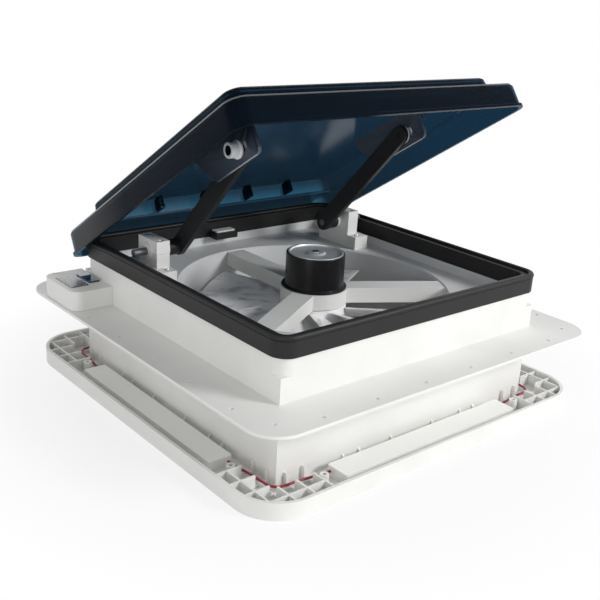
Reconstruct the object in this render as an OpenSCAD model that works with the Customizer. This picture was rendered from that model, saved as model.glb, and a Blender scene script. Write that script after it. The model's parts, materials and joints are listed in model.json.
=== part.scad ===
// Caravan roof vent with a powered smoked lid, fan, rain sensor and lit ceiling trim.
// Shown with its lid open and no roof between the flange and the ceiling trim.
// X runs along the lid hinge, +Y points to the hinge side, Z is up, and Z = 0 is the face of the trim.

/* [Main size] */
// Outside width of the square upstand, as wide as the hole in the roof
opening_w = 356; // [320:1:400]

/* [Ceiling trim] */
// How far the trim reaches out past the upstand
trim_reach = 46.5; // [42:0.5:52]
// Height of the trim's outer rim
trim_h = 17.5; // [14:0.5:22]
// Corner radius of the trim
trim_r = 45; // [30:1:60]
// Thickness of the trim's face
trim_t = 3; // [2:0.5:4]
// Thickness of the trim's outer rim
trim_rim_t = 3.5; // [2.5:0.5:5]
// Step from the upstand's outside in to the collar's outside
collar_gap = 1.5; // [0.5:0.5:3]
// Wall of the collar
collar_t = 2.5; // [2:0.5:4]
// Height of the collar from the trim's face
collar_h = 70; // [60:1:78]
// Thickness of the trim's ribs
rib_t = 2; // [1.5:0.5:3]
// Spacing of the corner ribs
rib_pitch = 21; // [18:1:26]
// Number of corner ribs each way
rib_n = 4; // [2:1:4]
// Distance of a trim screw post from the corner of the upstand
post_in = 40; // [36:1:44]
// Outside diameter of a trim screw post
post_d = 9; // [8:0.5:12]
// Hole in a trim screw post
post_hole_d = 4.2; // [3:0.1:5]

/* [Light bars] */
// Gap from a trim screw post to the end of a light bar
bar_post_gap = 15.5; // [12:0.5:20]
// Gap along both long sides of a light bar
bar_side_gap = 9.25; // [8:0.25:11]
// Height of a light bar
bar_h = 11; // [8:0.5:13]
// Wall of a light bar
bar_t = 1.6; // [1.2:0.1:2.5]
// Margin of the light bar round the light slot in the trim
lens_margin = 5; // [4:0.5:7]
// Diameter of the light wire
wire_d = 2.6; // [2:0.1:3]

/* [Roof base] */
// Thickness of the roof between the trim and the flange
roof_gap = 65.5; // [60:0.5:80]
// How far the flange reaches out past the upstand
flange_reach = 49.5; // [46:0.5:56]
// Thickness of the flange
flange_t = 3; // [2:0.5:5]
// Corner radius of the flange
flange_r = 32; // [20:1:45]
// Distance of the flange holes from the flange's edge
flange_hole_in = 11.5; // [9:0.5:14]
// Distance of a side's end holes from the line of the next side's holes
flange_hole_end = 56; // [50:1:62]
// Diameter of a flange hole
flange_hole_d = 4.5; // [3.5:0.1:5.5]
// Distance of a corner hole from both edges of the flange
flange_corner_in = 24.5; // [22:0.5:27]
// Wall of the upstand
wall_t = 3; // [2:0.5:4]
// Height of the upstand above the flange
wall_h = 45; // [40:1:55]
// Height of the upstand's part with round corners, below the rim
corner_step = 17; // [10:1:20]
// Depth of the downstand below the flange
downstand_h = 40; // [30:1:50]
// Gap between pieces that slide into each other
fit_gap = 0.3; // [0.2:0.05:0.5]

/* [Rim and seal] */
// How far the rim stands out past the upstand
rim_over = 2.5; // [2:0.5:4]
// How far the rim laps down over the upstand
rim_lap = 3; // [2:0.5:5]
// Height of the rim above the upstand
rim_h = 15; // [12:0.5:20]
// Width of the rim seen from above
rim_band = 12; // [11:0.5:14]
// Skin of the rim
rim_t = 2.3; // [1.8:0.1:2.4]
// Corner radius of the rim
rim_r = 18; // [14:1:24]
// Radius of the bulb seal
seal_r = 3.2; // [2.5:0.1:3.5]

/* [Deck and duct] */
// Step from the top of the upstand down to the deck
deck_drop = 13; // [12:0.5:14]
// Thickness of the deck
deck_t = 3; // [2:0.5:4]
// Wall of the deck's upturned edge
tray_t = 2.2; // [1.5:0.1:2.5]
// Margin of the deck round the fan duct
duct_margin = 27; // [25:1:40]
// Wall of the fan duct
duct_t = 2.5; // [2:0.5:3]
// Depth of the fan duct below the deck
duct_h = 47; // [46:1:56]
// Distance of the fan axis from the middle, towards the free edge of the lid
fan_off = 14; // [8:0.5:16]

/* [Fan and motor] */
// Radius of the motor can
motor_r = 32.5; // [28:0.5:36]
// Height of the motor can above the spider
motor_h = 38; // [32:0.5:39]
// Wall of the motor can
motor_t = 2; // [1.5:0.5:3]
// Step from the deck down to the top of the spider
spider_drop = 1; // [0.5:0.5:4]
// Width of a spider arm
spider_w = 24; // [18:1:28]
// Depth of a spider arm
spider_h = 17; // [14:0.5:18]
// Skin of a spider arm
spider_t = 2.5; // [2:0.5:3]
// Radius of the motor shaft
shaft_r = 4; // [3:0.5:5]
// Running clearance of a shaft in its bore
run_gap = 0.05; // [0.02:0.01:0.1]
// Number of fan blades
blade_n = 10; // [5:1:12]
// Gap between the blade tips and the duct
blade_gap = 4; // [3:0.5:8]
// Chord of a blade at its root
blade_root = 46; // [36:1:50]
// Chord of a blade at its tip
blade_tip = 58; // [44:1:62]
// Pitch of a blade at its root
blade_pitch = 32; // [24:1:34]
// Twist of a blade from root to tip
blade_twist = 12; // [4:1:14]
// Thickness of a blade
blade_t = 2.2; // [1.8:0.1:3]
// Radius of the fan hub
hub_r = 37; // [33:1:40]
// Depth of the fan hub
hub_h = 23; // [20:1:25]

/* [Lid] */
// How far the lid's lip stands out past the rim at the sides
lid_over_w = 12.5; // [9:0.5:16]
// How far the lid's lip stands out past the rim at front and back
lid_over_d = 6.5; // [6:0.5:8]
// Height of the lid's skirt
lid_skirt_h = 27.5; // [24:0.5:32]
// Thickness of the lid
lid_t = 2.5; // [2:0.1:2.6]
// Draft of the skirt from lip to top
lid_draft = 1.1; // [0.5:0.1:1.4]
// How far the lip stands out from the skirt
lid_lip = 1.5; // [1:0.1:2]
// Height of the lip
lid_lip_h = 3; // [2:0.5:5]
// Corner radius of the lid
lid_r = 18; // [14:1:26]
// Step in front of the raised panel
panel_front = 21; // [18:0.5:26]
// Step beside the raised panel
panel_side = 17.5; // [16:0.5:22]
// Step behind the raised panel
panel_back = 44; // [40:0.5:50]
// Height of the raised panel
panel_h = 16.5; // [16.5:0.5:20]
// Draft of the raised panel's side
panel_draft = 2.5; // [1.5:0.5:4]
// Angle at which the lid stands open
lid_open = 32.35; // [20:0.05:40]
// Distance of the hinge axis from the upstand
hinge_off = 4.8; // [4.6:0.1:5.5]
// Height of the lid's lip above the hinge axis when closed
hinge_drop = 5.05; // [4.5:0.05:6]
// Radius of the hinge pin
hinge_pin_r = 1.9; // [1.5:0.1:2.2]
// Radius of the hinge knuckles
knuckle_r = 4; // [3.5:0.1:4.3]
// Distance from the middle hinge to a side hinge
hinge_pitch = 95; // [70:1:120]

/* [Lift] */
// Distance of the lift shaft from the hinge axis
lift_back = 88.8; // [86:0.1:91]
// Height of the lift shaft above the deck
lift_z = 31.5; // [31:0.1:32]
// Gap from a lift block to the inside of the upstand
block_gap = 28; // [26:1:36]
// Width of a lift block along its shaft
block_w = 16; // [14:1:20]
// Depth of a lift block
block_d = 38; // [32:1:40]
// Height of a lift block
block_h = 45.5; // [44:0.5:46]
// Radius of the lift shaft
lift_shaft_r = 4; // [3:0.5:5]
// Length of the shaft's outer end
lift_stub = 18; // [12:1:20]
// Distance from a lift block to its arm
lift_reach = 21; // [19:1:24]
// Thickness of an arm
arm_t = 6; // [4:0.5:7]
// Width of an arm
arm_w = 20; // [16:1:21]
// Distance of the slide bush from the hinge axis along the lid
bush_back = 257.8; // [257:0.1:259]
// Height of the slide bush above the lid's lip plane
bush_n = 18.5; // [18.3:0.1:18.7]
// Radius of the bush's neck in its slot
bush_neck_r = 4.5; // [3.5:0.5:5]
// Radius of the bush's body
bush_r = 7.8; // [7:0.1:8.2]
// Length of the bush's body
bush_l = 14; // [10:1:18]
// Travel of the bush along its slot
slot_travel = 9; // [8.5:0.5:12]
// Clearance of the bush in its slot
slot_gap = 0.7; // [0.6:0.1:1.2]
// Thickness of a lid bracket
bracket_t = 4; // [3:0.5:5]
// Length of a lid bracket
bracket_l = 108; // [100:1:115]
// Distance from the bracket's front edge to the bush
bracket_front = 30; // [26:1:34]
// Radius of a lift motor
lift_motor_r = 12; // [10:0.5:13]
// Length of a lift motor
lift_motor_h = 40; // [34:1:46]

/* [Rain sensor] */
// Size of the sensor housing away from the upstand
sensor_w = 47; // [42:1:48]
// Length of the sensor housing
sensor_l = 74; // [66:1:78]
// Height of the sensor housing
sensor_h = 22; // [18:1:26]
// Distance of the sensor's middle from the corner of the upstand
sensor_in = 26; // [22:1:30]

/* [Control box] */
// Width of the control box
box_w = 52; // [44:1:54]
// Height of the control box
box_h = 24; // [18:1:28]

/* [Hidden] */
$fn = 48;
eps = 0.01;

// Heights, from the floor up
flange_z = trim_h + roof_gap;
flange_top = flange_z + flange_t;
wall_top = flange_top + wall_h;
deck_top = wall_top - deck_drop;
deck_low = deck_top - deck_t;
rim_low = wall_top - rim_lap;
rim_top = wall_top + rim_h;
seal_top = rim_top + seal_r;
spider_top = deck_top - spider_drop;
spider_low = spider_top - spider_h;

// Half widths
wall_half = opening_w / 2;
wall_in = wall_half - wall_t;
trim_half = wall_half + trim_reach;
trim_w = 2 * trim_half;
collar_half = wall_half - collar_gap;
collar_in = collar_half - collar_t;
rim_half = wall_half + rim_over;
rim_in = rim_half - rim_band;
rim_in_r = rim_r - rim_band + 3;
seal_sink = 0.5;
seal_half = rim_half - seal_r + seal_sink;
downstand_half = collar_in - fit_gap;
downstand_in = downstand_half - collar_t;
corner_r = rim_r - rim_over;
corner_in_r = corner_r - wall_t;
ledge_w = 5;
ledge_t = 3;

// Trim: the light bars lie midway between the collar and the rim
quarter_turns = [0, 90, 180, 270];
bar_room = trim_half - trim_rim_t - collar_half;
bar_c = collar_half + bar_room / 2;
bar_w = bar_room - 2 * bar_side_gap;
bar_end_r = 2;
post_off = wall_half - post_in;
bar_l = 2 * (post_off - bar_post_gap);
post_z = trim_t + 12;
rib_z = trim_h - 1.5;
rib_first = trim_half - trim_rim_t - rib_pitch * (rib_n - 0.4);
channel_in = collar_half + 4;
channel_out = channel_in + 12;
channel_z = trim_t + 3;
gusset = 9;
gusset_places = [for (part = [0.17, 0.42, 0.54], s = [-1, 1]) s * part * collar_half];
rim_gusset = 6;
rim_gusset_h = 10;
rim_gusset_places = [for (part = [0.13, 0.39], s = [-1, 1]) s * part * collar_half];
lens_l = bar_l - 4 * lens_margin;
lens_w = bar_w - 2 * lens_margin;
lens_up = 0.3;
lens_gap = 0.1;
strip_t = 1.4;
strip_in = 3;

// Half of a light wire's way round a corner: distances out from the collar, back along it, and up
wire_half = [
    [13.5, collar_half - bar_l / 2, 8.3], [13.5, 48, 8.3], [13, 40, 8.5], [12, 31, 8.8], [11, 22, 9],
    [10.5, 13, 9], [10, 5, 8.9], [9, -2, 8.7], [6, -6, 8.7]
];
wire_end = len(wire_half) - 1;
wire_near = [for (p = wire_half) [-collar_half - p[0], -collar_half + p[1], p[2]]];
wire_far = [for (i = [wire_end - 1:-1:0]) [wire_near[i][1], wire_near[i][0], wire_near[i][2]]];
wire_sides = 8;

// Flange: six holes along each side and one at each corner, without the one under the sensor
flange_half = wall_half + flange_reach;
flange_w = 2 * flange_half;
flange_hole_line = flange_half - flange_hole_in;
flange_hole_pitch = 2 * (flange_hole_line - flange_hole_end) / 5;
flange_corner_hole = flange_half - flange_corner_in;

// Pad on its ledge in the middle of the hinge side
pad_half_w = 14;
pad_d = 12;
pad_t = 2;
pad_ledge = 17;
pad_ledge_h = 8;
pad_ledge_side = 2;

// Lid: modelled closed, then turned open about the hinge
seal_gap = 0.3;
lid_half_w = rim_half + lid_over_w;
lid_half_d = rim_half + lid_over_d;
lip_z = seal_top + seal_gap - (lid_skirt_h - lid_t);
lid_top_z = lip_z + lid_skirt_h;
panel_top_z = lid_top_z + panel_h;
panel_under_z = panel_top_z - lid_t;
edge_h = 3.5;
edge_in = 2;
panel_sink = 1;
hinge_y = wall_half + hinge_off;
hinge_z = lip_z - hinge_drop;
hinge_places = [-hinge_pitch, 0, hinge_pitch];
hinge_bracket_w = 20;
hinge_foot_h = 14;
hinge_plate_t = 2;
hinge_lug_w = 8;
hinge_side_gap = 0.4;
lid_rib_places = [-hinge_pitch, -hinge_pitch / 3, hinge_pitch / 3, hinge_pitch];
lid_rib_w = 6;
lid_rib_l = 22;

// Lift: the arm reaches from its shaft to the bush, where the open lid holds it
lift_y = hinge_y - lift_back;
lift_h = deck_top + lift_z;
block_out = wall_in - block_gap;
block_x = block_out - block_w;
block_top = deck_top + block_h;
split_gap = 0.1;
boss_r = 9;
boss_l = 7;
boss_out = 2;
lug_d = 15;
lug_h = 16;
lug_out = 5;
lug_x = block_x + block_w / 2;
lug_places = [for (s = [-1, 1]) lift_y + s * (block_d + lug_d) / 2];
cap_screw_x = block_x + block_w / 2;
cap_screw_places = [for (s = [-1, 1]) lift_y + s * (block_d / 2 - 5)];
cap_screw_l = 10;
screw_r = 1.5;
screw_gap = 0.1;
screw_head_r = 2.8;
screw_head_h = 2;
press_gap = 0.02;
arm_out = block_x - lift_reach;
arm_in = arm_out - arm_t;
arm_hub_x = block_x - boss_l - 0.5;
lift_motor_x = block_x + block_w / 2 + 3;
lift_motor_neck = 4;
bush_u = lid_half_d + hinge_y - bush_back;
bush_y_closed = hinge_y - bush_back;
bush_z_closed = lip_z + bush_n;
open_c = cos(lid_open);
open_s = sin(lid_open);
bush_y = hinge_y + (bush_y_closed - hinge_y) * open_c + (bush_z_closed - hinge_z) * open_s;
bush_z = hinge_z - (bush_y_closed - hinge_y) * open_s + (bush_z_closed - hinge_z) * open_c;
arm_l = sqrt(pow(bush_y - lift_y, 2) + pow(bush_z - lift_h, 2));
arm_angle = atan2(bush_z - lift_h, lift_y - bush_y);
bush_pin_r = bush_neck_r - 1.5;
bush_collar_r = bush_neck_r + 5.5;
bush_collar_t = 1.7;
bush_flange_r = bush_r + 1.5;
bush_flange_t = 2.4;
bush_wall = 3;

// Lid bracket: u runs from the lid's free edge, n stands up from the lip plane
bracket_in = arm_out + bush_collar_t + 0.3;
bracket_out = bracket_in + bracket_t;
bush_flange_x = bracket_out + 0.6;
bush_body_x = bush_flange_x + bush_flange_t;
bracket_u = bush_u - bracket_front;
bracket_low = 4;
bracket_nose = 6;
bracket_slope = 23;
bracket_foot_t = 3;
bracket_foot_w = 18;
bracket_screw_places = [for (u = [10, bracket_l - 10]) -lid_half_d + bracket_u + u];
bracket_screw_x = bracket_in + 2 / 3 * bracket_foot_w;

// Fan
duct_r = wall_in - duct_margin;
duct_lip = 3;
duct_edge = 2;
fan_y = -fan_off;
motor_base = spider_top;
motor_top = motor_base + motor_h;
motor_lip = 3.5;
motor_lip_h = 2;
motor_floor = 4;
motor_screw_r = 16;
cap_t = 1.2;
cap_seat = 1.5;
cap_rim_t = 2;
cap_rim_up = 0.6;
cap_boss_h = 2;
cap_boss_r = shaft_r + 5;
magnet_r = motor_r - motor_t - 0.1;
magnet_t = 5;
magnet_h = 0.75 * motor_h;
armature_gap = 1;
armature_h = 0.6 * motor_h;
hub_t = 2.5;
hub_gap = 1;
hub_top = spider_low - hub_gap;
hub_low = hub_top - hub_h;
nut_h = 6;
shaft_end = 2;
blade_root_r = hub_r - 2;
blade_tip_turn = 3;
blade_span = duct_r - blade_gap - blade_tip_turn - blade_root_r;
blade_arch = 0.09;
blade_clear = 1;
blade_rise = max(blade_root * sin(blade_pitch), blade_tip * sin(blade_pitch - blade_twist));
blade_z = spider_low - blade_clear - (blade_rise + blade_t) / 2;
blade_steps = 6;
spider_angles = [90, 210, 330];
spider_between = 60;
spider_hub_r = motor_r + motor_lip + 1;
spider_gap = 0.1;
spider_pad = 12;
spider_screw_l = duct_t + spider_pad - 4;

// Sensor
sensor_x = -wall_half - sensor_w / 2;
sensor_y = wall_half - sensor_in;
sensor_r = 12;
plate_side = 6;
plate_end = 17;
plate_w = sensor_w / 2 - 1.5;
plate_l = sensor_l - 2 * plate_end;
plate_t = 1.2;
plate_x = sensor_x - sensor_w / 2 + plate_side;
plate_bars = 7;
plate_edge = 3;
plate_gap = 2;
lens_side = 4;
lens_end = 22;
lens_box = [sensor_w - plate_side - plate_w - plate_gap - lens_side, sensor_l - 2 * lens_end, 4];
lens_sink = 2;
lens_x = plate_x + plate_w + plate_gap;
inset_gap = 0.1;

sides = ["front", "right", "back", "left"];

white = [0.93, 0.93, 0.91];
pale_grey = [0.80, 0.81, 0.81];
black = [0.09, 0.09, 0.10];
smoke = [0.07, 0.14, 0.22, 0.85];
slate = [0.17, 0.19, 0.22];
steel = [0.70, 0.71, 0.72];

// Square with rounded corners, centred
module rounded_square(w, d, r) {
    square([w - 2 * r, d], center = true);
    square([w, d - 2 * r], center = true);
    for (x = [-1, 1], y = [-1, 1])
        translate([x * (w / 2 - r), y * (d / 2 - r)]) circle(r);
}

// Upright ring between two rounded squares
module square_ring(half_out, half_in, r_out, r_in, z0, z1) {
    translate([0, 0, z0]) linear_extrude(z1 - z0) difference() {
        rounded_square(2 * half_out, 2 * half_out, r_out);
        rounded_square(2 * half_in, 2 * half_in, r_in);
    }
}

// Sharp square tube
module square_tube(half_out, half_in, z0, z1) {
    translate([0, 0, z0]) linear_extrude(z1 - z0) difference() {
        square(2 * half_out, center = true);
        square(2 * half_in, center = true);
    }
}

// Cylinder along X from x0 to x1
module rod_x(r, x0, x1) {
    translate([x0, 0, 0]) rotate([0, 90, 0]) cylinder(r = r, h = x1 - x0);
}

// Upright box between two corners
module box(low, high) {
    translate(low) cube(high - low);
}

// Prism along X whose long sides follow steps of [how far in, how high]
module stepped_prism(l, d, steps) {
    right = [for (p = steps) [d / 2 - p[0], p[1]]];
    left = [for (i = [len(steps) - 1:-1:0]) [steps[i][0] - d / 2, steps[i][1]]];
    rotate([90, 0, 90]) linear_extrude(l, center = true) polygon(concat(right, left));
}

// Block with round corners whose sides follow the same steps all round
module stepped_block(w, d, r, steps) {
    low = steps[0][1];
    high = steps[len(steps) - 1][1];
    side = [for (p = steps) [r - p[0], p[1]]];
    stepped_prism(w - 2 * r, d, steps);
    rotate([0, 0, 90]) stepped_prism(d - 2 * r, w, steps);
    for (x = [-1, 1], y = [-1, 1])
        translate([x * (w / 2 - r), y * (d / 2 - r), 0])
            rotate_extrude() polygon(concat([[0, low]], side, [[0, high]]));
}

// Pan-head screw pointing down, its head's underside at the origin
module screw(l) {
    cylinder(r = screw_head_r, h = screw_head_h);
    translate([0, 0, -l]) cylinder(r = screw_r, h = l + eps);
}

// Left side is -1, right side is 1: pieces are modelled on the right and mirrored for the left
module on_side(side) {
    if (side > 0) children();
    else mirror([1, 0, 0]) children();
}

// Turn from closed to open about the hinge
module lid_turn() {
    translate([0, hinge_y, hinge_z]) rotate([-lid_open, 0, 0])
        translate([0, -hinge_y, -hinge_z]) children();
}

// Arm frame: origin on the lift shaft, arm along -Y before it is raised
module arm_turn() {
    translate([0, lift_y, lift_h]) rotate([-arm_angle, 0, 0]) children();
}

// Ceiling trim

module trim_ribs() {
    rib_room = trim_w - trim_rim_t;
    rib_free = 2 * rib_first - rib_t;
    difference() {
        translate([0, 0, trim_t - eps]) linear_extrude(rib_z - trim_t) intersection() {
            difference() {
                rounded_square(rib_room, rib_room, trim_r - trim_rim_t / 2);
                square(2 * collar_half - collar_t, center = true);
                square([rib_free, trim_w], center = true);
                square([trim_w, rib_free], center = true);
            }
            union() {
                for (i = [0:rib_n - 1], s = [-1, 1]) {
                    translate([s * (rib_first + i * rib_pitch), 0]) square([rib_t, trim_w], center = true);
                    translate([0, s * (rib_first + i * rib_pitch)]) square([trim_w, rib_t], center = true);
                }
            }
        }
        square_tube(channel_out, channel_in, channel_z, trim_h);
    }
}

module gusset_row() {
    for (turn = quarter_turns, p = gusset_places)
        rotate([0, 0, turn]) translate([p - rib_t / 2, -collar_half + eps, trim_t - eps])
            rotate([90, 0, 90]) linear_extrude(rib_t) polygon([[0, 0], [-gusset, 0], [0, gusset]]);
}

module rim_gusset_row() {
    for (turn = quarter_turns, p = rim_gusset_places)
        rotate([0, 0, turn]) translate([p - rib_t / 2, trim_rim_t - trim_half - eps, trim_t - eps])
            rotate([90, 0, 90]) linear_extrude(rib_t) polygon([[0, 0], [rim_gusset, 0], [0, rim_gusset_h]]);
}

module ceiling_trim() {
    color(white) difference() {
        union() {
            linear_extrude(trim_t) difference() {
                rounded_square(trim_w, trim_w, trim_r);
                square(2 * collar_half - collar_t, center = true);
            }
            square_ring(trim_half, trim_half - trim_rim_t, trim_r, trim_r - trim_rim_t, 0, trim_h);
            square_tube(collar_half, collar_in, 0, collar_h);
            trim_ribs();
            gusset_row();
            rim_gusset_row();
            for (turn = quarter_turns, s = [-1, 1])
                rotate([0, 0, turn]) translate([s * post_off, -bar_c, 0]) cylinder(d = post_d, h = post_z);
        }
        for (turn = quarter_turns) rotate([0, 0, turn]) {
            for (s = [-1, 1]) translate([s * post_off, -bar_c, -1]) cylinder(d = post_hole_d, h = post_z + 2);
            translate([0, -bar_c, -1]) linear_extrude(trim_t + 2) square([lens_l, lens_w], center = true);
        }
    }
}

// Light bar on the front side, open below
module light_bar(turn) {
    color(white) rotate([0, 0, turn]) translate([0, -bar_c, trim_t]) difference() {
        linear_extrude(bar_h) rounded_square(bar_l, bar_w, bar_end_r);
        translate([0, 0, -1]) linear_extrude(bar_h - bar_t + 1)
            square([bar_l - 2 * bar_t, bar_w - 2 * bar_t], center = true);
    }
}

module light_lens(turn) {
    color([0.9, 0.92, 0.95, 0.6]) rotate([0, 0, turn]) translate([0, -bar_c, lens_up])
        linear_extrude(trim_t - lens_up)
            square([lens_l - 2 * lens_gap, lens_w - 2 * lens_gap], center = true);
}

module light_strips() {
    color([0.95, 0.90, 0.55]) for (turn = quarter_turns) rotate([0, 0, turn])
        translate([0, -bar_c, trim_t + bar_h - bar_t - strip_t]) linear_extrude(strip_t)
            square([lens_l - 2 * strip_in, lens_w - 2 * strip_in], center = true);
}

function unit(v) = v / norm(v);
function along(path, i) = unit(path[min(i + 1, len(path) - 1)] - path[max(i - 1, 0)]);

// Ring of points round a path point: one side lies level, the other stands up
function ring_point(path, i, k) =
    let (
        t = along(path, i),
        level = unit(cross([0, 0, 1], t)),
        upright = cross(t, level),
        a = 360 * k / wire_sides
    )
    path[i] + wire_d / 2 * (level * cos(a) + upright * sin(a));

module tube(path) {
    last = len(path) - 1;
    points = [for (i = [0:last], k = [0:wire_sides - 1]) ring_point(path, i, k)];
    walls = [for (i = [0:last - 1], k = [0:wire_sides - 1])
        let (a = i * wire_sides + k, b = i * wire_sides + (k + 1) % wire_sides)
        [a, a + wire_sides, b + wire_sides, b]];
    start = [for (k = [0:wire_sides - 1]) k];
    end = [for (k = [wire_sides - 1:-1:0]) last * wire_sides + k];
    polyhedron(points, concat(walls, [start], [end]));
}

module light_wires() {
    color([0.75, 0.10, 0.18]) for (turn = quarter_turns) rotate([0, 0, turn])
        tube(concat(wire_near, wire_far));
}

// Roof base

module flange_hole() {
    translate([0, 0, flange_z - 1]) cylinder(d = flange_hole_d, h = flange_t + 2);
}

module flange_holes() {
    for (turn = quarter_turns, i = [-2.5:1:2.5]) {
        covered = turn == 270 && i == -2.5;
        if (!covered) rotate([0, 0, turn])
            translate([i * flange_hole_pitch, -flange_hole_line, 0]) flange_hole();
    }
    for (x = [-1, 1], y = [-1, 1])
        translate([x * flange_corner_hole, y * flange_corner_hole, 0]) flange_hole();
}

module roof_base() {
    step_z = rim_low - corner_step;
    color(white) difference() {
        union() {
            translate([0, 0, flange_z]) linear_extrude(flange_t) difference() {
                rounded_square(flange_w, flange_w, flange_r);
                square(2 * downstand_in, center = true);
            }
            square_tube(wall_half, wall_in, flange_z, step_z);
            translate([0, 0, step_z - wall_t]) linear_extrude(wall_t) difference() {
                square(opening_w, center = true);
                rounded_square(2 * wall_in, 2 * wall_in, corner_in_r);
            }
            square_ring(wall_half, wall_in, corner_r, corner_in_r, step_z - eps, wall_top);
            square_ring(wall_in + eps, wall_in - ledge_w, corner_in_r, corner_in_r - ledge_w,
                deck_low - ledge_t, deck_low);
            square_tube(downstand_half, downstand_in, flange_z - downstand_h, flange_z + eps);
        }
        flange_holes();
    }
}

// Rim and seal

module rim_frame() {
    fit = 0.1;
    ledge_half_w = pad_half_w + pad_ledge_side;
    color(black) union() {
        difference() {
            square_ring(rim_half, rim_in, rim_r, rim_in_r, rim_low, rim_top);
            square_ring(wall_half + fit, wall_in - fit, corner_r + fit, corner_in_r - fit,
                rim_low - 1, wall_top);
            square_ring(wall_in, rim_in + rim_t, corner_in_r, rim_in_r,
                rim_low - 1, rim_top - seal_r - rim_t);
            seal_path(seal_r + fit);
        }
        box([-ledge_half_w, rim_in - pad_ledge, rim_low],
            [ledge_half_w, rim_in + eps, rim_low + pad_ledge_h]);
    }
}

module lid_sensor_pad() {
    color(white) translate([0, rim_in - pad_ledge / 2, rim_low + pad_ledge_h]) linear_extrude(pad_t)
        rounded_square(2 * pad_half_w, pad_d, pad_t);
}

// Round bead along the top of the rim
module seal_path(r) {
    corner = rim_r - (rim_half - seal_half);
    run = seal_half - corner;
    translate([0, 0, rim_top]) for (turn = quarter_turns) rotate([0, 0, turn]) {
        translate([0, -seal_half, 0]) rod_x(r, -run, run);
        translate([run, -run, 0]) rotate([0, 0, -90])
            rotate_extrude(angle = 90) translate([corner, 0]) circle(r);
    }
}

module rim_seal() {
    color([0.05, 0.05, 0.05]) seal_path(seal_r);
}

// Deck and duct

module fan_deck() {
    deck_half = wall_in - fit_gap;
    color(pale_grey) difference() {
        union() {
            translate([0, 0, deck_low]) linear_extrude(deck_t)
                rounded_square(2 * deck_half, 2 * deck_half, corner_in_r - fit_gap);
            square_ring(rim_in + tray_t, rim_in, rim_in_r + tray_t, rim_in_r, deck_top - eps, rim_low);
            translate([0, fan_y, deck_top - duct_h]) {
                cylinder(r = duct_r + duct_t, h = duct_h - eps, $fn = 96);
                cylinder(r = duct_r + duct_t + duct_lip, h = duct_t, $fn = 96);
            }
        }
        translate([0, fan_y, 0]) {
            translate([0, 0, deck_top - duct_h - 1]) cylinder(r = duct_r, h = duct_h + 2, $fn = 96);
            translate([0, 0, deck_top - duct_edge])
                cylinder(r1 = duct_r, r2 = duct_r + duct_edge, h = duct_edge + eps, $fn = 96);
        }
        for (a = spider_angles) translate([0, fan_y, spider_top - spider_h / 2]) rotate([0, 0, a])
            rod_x(screw_r + screw_gap, duct_r - 1, duct_r + duct_t + 1);
        for (s = [-1, 1]) on_side(s) block_foot_holes();
    }
}

module control_box() {
    from_wall = 8;
    c = wall_in - from_wall - box_w / 2;
    color(white) translate([-c, -c, deck_low - box_h]) difference() {
        linear_extrude(box_h) rounded_square(box_w, box_w, 4);
        translate([0, 0, bar_t]) linear_extrude(box_h - 2 * bar_t) square(box_w - 2 * bar_t, center = true);
    }
}

// Hinge

module hinge_bracket(x) {
    half = hinge_bracket_w / 2;
    color(white) translate([x, 0, 0]) difference() {
        union() {
            translate([0, hinge_y, hinge_z]) rod_x(knuckle_r, -half, half);
            box([-half, wall_half, hinge_z - hinge_foot_h], [half, hinge_y, hinge_z]);
            box([-half, wall_half, hinge_z - eps], [half, wall_half + hinge_plate_t, rim_low - 1]);
        }
        translate([0, hinge_y, hinge_z]) rod_x(hinge_pin_r, -hinge_bracket_w, hinge_bracket_w);
    }
}

module hinge_pin() {
    pin_end = 2;
    reach = hinge_pitch + hinge_bracket_w / 2 + hinge_side_gap + hinge_lug_w + pin_end;
    color(steel) translate([0, hinge_y, hinge_z]) rod_x(hinge_pin_r, -reach, reach);
}

// Lid

// Solid form of the lid, drawn in by t on every face: the skirt, and the raised panel sunk into its top
module lid_form(t) {
    w = 2 * (lid_half_w - lid_lip - t);
    d = 2 * (lid_half_d - lid_lip - t);
    r = lid_r - t;
    panel_w = 2 * (lid_half_w - panel_side - t);
    panel_d = 2 * (lid_half_d - t) - panel_front - panel_back;
    translate([0, 0, lip_z]) stepped_block(w, d, r, [
        [0, 0], [lid_draft, lid_skirt_h - edge_h - t], [lid_draft + edge_in, lid_skirt_h - t]
    ]);
    translate([0, (panel_front - panel_back) / 2, lid_top_z - t]) stepped_block(panel_w, panel_d, r, [
        [0, -panel_sink], [0, 0], [panel_draft, panel_h - edge_in], [panel_draft + edge_in, panel_h]
    ]);
}

module lid_lug(x0) {
    web_y = 0.5;
    web_in = 1;
    translate([0, hinge_y, hinge_z]) rod_x(knuckle_r, x0, x0 + hinge_lug_w);
    box([x0, hinge_y + web_y, hinge_z],
        [x0 + hinge_lug_w, lid_half_d - web_in, lip_z + lid_lip_h - web_in]);
}

// Rib on the back wall of the raised panel: its back end stays within that leaning wall
module lid_rib(x) {
    wall_foot = lid_half_d - panel_back - lid_t / 2;
    foot_z = lid_top_z - lid_t / 2;
    top_z = panel_under_z + lid_t / 5;
    translate([x - lid_rib_w / 2, 0, 0]) rotate([90, 0, 90]) linear_extrude(lid_rib_w) polygon([
        [wall_foot - lid_rib_l, foot_z], [wall_foot, foot_z], [wall_foot - panel_draft, top_z],
        [wall_foot - lid_rib_l, top_z]
    ]);
}

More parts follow.
